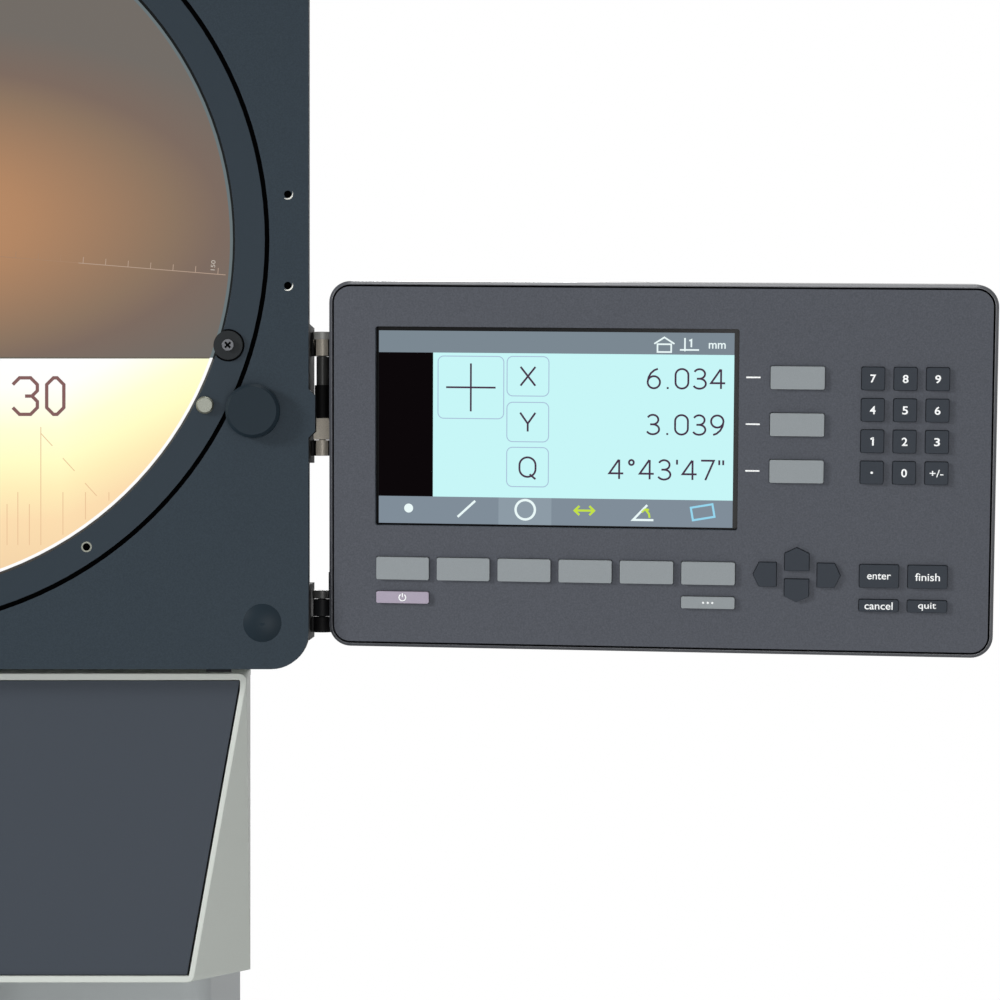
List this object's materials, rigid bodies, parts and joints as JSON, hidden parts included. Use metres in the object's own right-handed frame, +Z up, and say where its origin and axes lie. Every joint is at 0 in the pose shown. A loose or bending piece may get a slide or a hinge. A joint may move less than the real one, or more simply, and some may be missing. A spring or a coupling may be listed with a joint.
{
  "type": "optical comparator",
  "caption": "Bench optical comparator: square plate with a round turning screen, lens shroud, column, three-axis stage and a hinged digital readout with keys.",
  "frame": {"origin": "on the bench plane, in the middle of the four tapped holes under the base", "axes": "X to the machine's right, Y to its back, Z up; the screen faces -Y"},
  "size_m": [0.6828, 0.51, 0.99],
  "materials": {
    "base_paint": "light grey textured paint on a casting",
    "head_paint": "light grey textured paint",
    "plate_paint": "dark blue-grey satin paint",
    "ring_dark": "turned and dark anodised",
    "screen_glass": "finely ground projection glass",
    "cap_black": "black moulded plastic",
    "bright_steel": "bright screws and peg",
    "shroud_cream": "pale cream paint",
    "shroud_dark": "charcoal paint",
    "lens_black": "black anodised",
    "mirror": "front-surface mirror",
    "bracket_nickel": "nickel plated steel",
    "stage_iron": "grey painted casting",
    "stage_steel": "ground steel",
    "stage_glass": "clear glass",
    "wheel_black": "black moulded handwheel",
    "case_grey": "dark grey moulded case",
    "panel_grey": "dark grey fine-textured panel",
    "display": "liquid crystal display on its circuit board",
    "key_grey": "grey silicone rubber",
    "key_dark": "dark silicone rubber",
    "key_mauve": "pale mauve silicone rubber"
  },
  "bodies": {
    "frame": {"base_casting": "base_paint", "column": "base_paint", "head_housing": "head_paint", "screen_plate": "plate_paint", "plate_caps": "plate_paint", "lens_shroud": "shroud_cream", "shroud_panel": "shroud_dark", "projection_lens": "lens_black", "fold_mirrors": "mirror", "lamp_house": "lens_black", "wall_bracket": "bracket_nickel", "power_inlet": "cap_black"},
    "screen": {"screen_ring": "ring_dark", "screen_glass": "screen_glass", "chart_clips": "cap_black", "ring_screws": "bright_steel"},
    "knob": {"rotation_knob": "plate_paint"},
    "knee": {"knee": "stage_iron"},
    "y_slide": {"y_slide": "stage_iron"},
    "x_slide": {"x_slide": "stage_steel", "stage_glass": "stage_glass"},
    "x_wheel": {"x_handwheel": "wheel_black"},
    "y_wheel": {"y_handwheel": "wheel_black"},
    "focus_wheel": {"focus_handwheel": "wheel_black"},
    "swing": {"swing_bracket": "bracket_nickel"},
    "nut": {"friction_nut": "wheel_black"},
    "readout": {"readout_case": "case_grey", "readout_panel": "panel_grey", "display_module": "display"},
    "key_soft_1": {"key_soft_1": "key_grey"},
    "key_soft_2": {"key_soft_2": "key_grey"},
    "key_soft_3": {"key_soft_3": "key_grey"},
    "key_soft_4": {"key_soft_4": "key_grey"},
    "key_soft_5": {"key_soft_5": "key_grey"},
    "key_soft_6": {"key_soft_6": "key_grey"},
    "key_power": {"key_power": "key_mauve"},
    "key_menu": {"key_menu": "key_grey"},
    "key_axis_x": {"key_axis_x": "key_grey"},
    "key_axis_y": {"key_axis_y": "key_grey"},
    "key_axis_q": {"key_axis_q": "key_grey"},
    "key_7": {"key_7": "key_dark"},
    "key_8": {"key_8": "key_dark"},
    "key_9": {"key_9": "key_dark"},
    "key_4": {"key_4": "key_dark"},
    "key_5": {"key_5": "key_dark"},
    "key_6": {"key_6": "key_dark"},
    "key_1": {"key_1": "key_dark"},
    "key_2": {"key_2": "key_dark"},
    "key_3": {"key_3": "key_dark"},
    "key_point": {"key_point": "key_dark"},
    "key_0": {"key_0": "key_dark"},
    "key_sign": {"key_sign": "key_dark"},
    "key_right": {"key_right": "key_dark"},
    "key_up": {"key_up": "key_dark"},
    "key_left": {"key_left": "key_dark"},
    "key_down": {"key_down": "key_dark"},
    "key_enter": {"key_enter": "key_dark"},
    "key_finish": {"key_finish": "key_dark"},
    "key_cancel": {"key_cancel": "key_dark"},
    "key_quit": {"key_quit": "key_dark"}
  },
  "joints": [
    {"name": "screen_turn", "type": "hinge", "parent": "frame", "child": "screen", "pos_m": [0, -0.192, 0.8], "axis": [0, 1, 0], "continuous": true},
    {"name": "knob_turn", "type": "hinge", "parent": "frame", "child": "knob", "pos_m": [0.16557, -0.2, 0.7242], "axis": [0, 1, 0], "continuous": true},
    {"name": "focus_slide", "type": "slide", "parent": "frame", "child": "knee", "axis": [0, 0, 1], "range_m": [-0.03, 0.045]},
    {"name": "focus_wheel_turn", "type": "hinge", "parent": "frame", "child": "focus_wheel", "pos_m": [0.134, 0.14, 0.23], "axis": [1, 0, 0], "range_deg": [-275, 410]},
    {"name": "y_slide_travel", "type": "slide", "parent": "knee", "child": "y_slide", "axis": [0, 1, 0], "range_m": [-0.025, 0.025]},
    {"name": "y_wheel_turn", "type": "hinge", "parent": "knee", "child": "y_wheel", "pos_m": [0, -0.165, 0.2225], "axis": [0, 1, 0], "range_deg": [-910, 910]},
    {"name": "x_slide_travel", "type": "slide", "parent": "y_slide", "child": "x_slide", "axis": [1, 0, 0], "range_m": [-0.05, 0.05]},
    {"name": "x_wheel_turn", "type": "hinge", "parent": "y_slide", "child": "x_wheel", "pos_m": [0.18, -0.08, 0.2513], "axis": [1, 0, 0], "range_deg": [-1810, 1810]},
    {"name": "readout_swing", "type": "hinge", "parent": "frame", "child": "swing", "pos_m": [0.1942, -0.168, 0.7], "axis": [0, 0, 1], "range_deg": [-9, 20]},
    {"name": "friction_nut_turn", "type": "hinge", "parent": "frame", "child": "nut", "pos_m": [0.1942, -0.168, 0.636], "axis": [0, 0, 1], "range_deg": [-45, 90]},
    {"name": "readout_tilt", "type": "hinge", "parent": "swing", "child": "readout", "pos_m": [0.34963, -0.16279, 0.7032], "axis": [0.9942, -0.1063, -0.014], "range_deg": [-15, 10]},
    {"name": "key_soft_1_press", "type": "slide", "parent": "readout", "child": "key_soft_1", "axis": [0.1071, 0.9904, 0.0871], "range_m": [0, 0.0012], "stiffness_N_per_m": 600},
    {"name": "key_soft_2_press", "type": "slide", "parent": "readout", "child": "key_soft_2", "axis": [0.1071, 0.9904, 0.0871], "range_m": [0, 0.0012], "stiffness_N_per_m": 600},
    {"name": "key_soft_3_press", "type": "slide", "parent": "readout", "child": "key_soft_3", "axis": [0.1071, 0.9904, 0.0871], "range_m": [0, 0.0012], "stiffness_N_per_m": 600},
    {"name": "key_soft_4_press", "type": "slide", "parent": "readout", "child": "key_soft_4", "axis": [0.1071, 0.9904, 0.0871], "range_m": [0, 0.0012], "stiffness_N_per_m": 600},
    {"name": "key_soft_5_press", "type": "slide", "parent": "readout", "child": "key_soft_5", "axis": [0.1071, 0.9904, 0.0871], "range_m": [0, 0.0012], "stiffness_N_per_m": 600},
    {"name": "key_soft_6_press", "type": "slide", "parent": "readout", "child": "key_soft_6", "axis": [0.1071, 0.9904, 0.0871], "range_m": [0, 0.0012], "stiffness_N_per_m": 600},
    {"name": "key_power_press", "type": "slide", "parent": "readout", "child": "key_power", "axis": [0.1071, 0.9904, 0.0871], "range_m": [0, 0.0012], "stiffness_N_per_m": 600},
    {"name": "key_menu_press", "type": "slide", "parent": "readout", "child": "key_menu", "axis": [0.1071, 0.9904, 0.0871], "range_m": [0, 0.0012], "stiffness_N_per_m": 600},
    {"name": "key_axis_x_press", "type": "slide", "parent": "readout", "child": "key_axis_x", "axis": [0.1071, 0.9904, 0.0871], "range_m": [0, 0.0012], "stiffness_N_per_m": 600},
    {"name": "key_axis_y_press", "type": "slide", "parent": "readout", "child": "key_axis_y", "axis": [0.1071, 0.9904, 0.0871], "range_m": [0, 0.0012], "stiffness_N_per_m": 600},
    {"name": "key_axis_q_press", "type": "slide", "parent": "readout", "child": "key_axis_q", "axis": [0.1071, 0.9904, 0.0871], "range_m": [0, 0.0012], "stiffness_N_per_m": 600},
    {"name": "key_7_press", "type": "slide", "parent": "readout", "child": "key_7", "axis": [0.1071, 0.9904, 0.0871], "range_m": [0, 0.0012], "stiffness_N_per_m": 600},
    {"name": "key_8_press", "type": "slide", "parent": "readout", "child": "key_8", "axis": [0.1071, 0.9904, 0.0871], "range_m": [0, 0.0012], "stiffness_N_per_m": 600},
    {"name": "key_9_press", "type": "slide", "parent": "readout", "child": "key_9", "axis": [0.1071, 0.9904, 0.0871], "range_m": [0, 0.0012], "stiffness_N_per_m": 600},
    {"name": "key_4_press", "type": "slide", "parent": "readout", "child": "key_4", "axis": [0.1071, 0.9904, 0.0871], "range_m": [0, 0.0012], "stiffness_N_per_m": 600},
    {"name": "key_5_press", "type": "slide", "parent": "readout", "child": "key_5", "axis": [0.1071, 0.9904, 0.0871], "range_m": [0, 0.0012], "stiffness_N_per_m": 600},
    {"name": "key_6_press", "type": "slide", "parent": "readout", "child": "key_6", "axis": [0.1071, 0.9904, 0.0871], "range_m": [0, 0.0012], "stiffness_N_per_m": 600},
    {"name": "key_1_press", "type": "slide", "parent": "readout", "child": "key_1", "axis": [0.1071, 0.9904, 0.0871], "range_m": [0, 0.0012], "stiffness_N_per_m": 600},
    {"name": "key_2_press", "type": "slide", "parent": "readout", "child": "key_2", "axis": [0.1071, 0.9904, 0.0871], "range_m": [0, 0.0012], "stiffness_N_per_m": 600},
    {"name": "key_3_press", "type": "slide", "parent": "readout", "child": "key_3", "axis": [0.1071, 0.9904, 0.0871], "range_m": [0, 0.0012], "stiffness_N_per_m": 600},
    {"name": "key_point_press", "type": "slide", "parent": "readout", "child": "key_point", "axis": [0.1071, 0.9904, 0.0871], "range_m": [0, 0.0012], "stiffness_N_per_m": 600},
    {"name": "key_0_press", "type": "slide", "parent": "readout", "child": "key_0", "axis": [0.1071, 0.9904, 0.0871], "range_m": [0, 0.0012], "stiffness_N_per_m": 600},
    {"name": "key_sign_press", "type": "slide", "parent": "readout", "child": "key_sign", "axis": [0.1071, 0.9904, 0.0871], "range_m": [0, 0.0012], "stiffness_N_per_m": 600},
    {"name": "key_right_press", "type": "slide", "parent": "readout", "child": "key_right", "axis": [0.1071, 0.9904, 0.0871], "range_m": [0, 0.0012], "stiffness_N_per_m": 600},
    {"name": "key_up_press", "type": "slide", "parent": "readout", "child": "key_up", "axis": [0.1071, 0.9904, 0.0871], "range_m": [0, 0.0012], "stiffness_N_per_m": 600},
    {"name": "key_left_press", "type": "slide", "parent": "readout", "child": "key_left", "axis": [0.1071, 0.9904, 0.0871], "range_m": [0, 0.0012], "stiffness_N_per_m": 600},
    {"name": "key_down_press", "type": "slide", "parent": "readout", "child": "key_down", "axis": [0.1071, 0.9904, 0.0871], "range_m": [0, 0.0012], "stiffness_N_per_m": 600},
    {"name": "key_enter_press", "type": "slide", "parent": "readout", "child": "key_enter", "axis": [0.1071, 0.9904, 0.0871], "range_m": [0, 0.0012], "stiffness_N_per_m": 600},
    {"name": "key_finish_press", "type": "slide", "parent": "readout", "child": "key_finish", "axis": [0.1071, 0.9904, 0.0871], "range_m": [0, 0.0012], "stiffness_N_per_m": 600},
    {"name": "key_cancel_press", "type": "slide", "parent": "readout", "child": "key_cancel", "axis": [0.1071, 0.9904, 0.0871], "range_m": [0, 0.0012], "stiffness_N_per_m": 600},
    {"name": "key_quit_press", "type": "slide", "parent": "readout", "child": "key_quit", "axis": [0.1071, 0.9904, 0.0871], "range_m": [0, 0.0012], "stiffness_N_per_m": 600}
  ],
  "couplings": [
    {"joint": "knob_turn", "follows": "screen_turn", "ratio": -33.302},
    {"joint": "focus_wheel_turn", "follows": "focus_slide", "rad_per_m": 157.08},
    {"joint": "y_wheel_turn", "follows": "y_slide_travel", "rad_per_m": 628.32},
    {"joint": "x_wheel_turn", "follows": "x_slide_travel", "rad_per_m": 628.32}
  ]
}
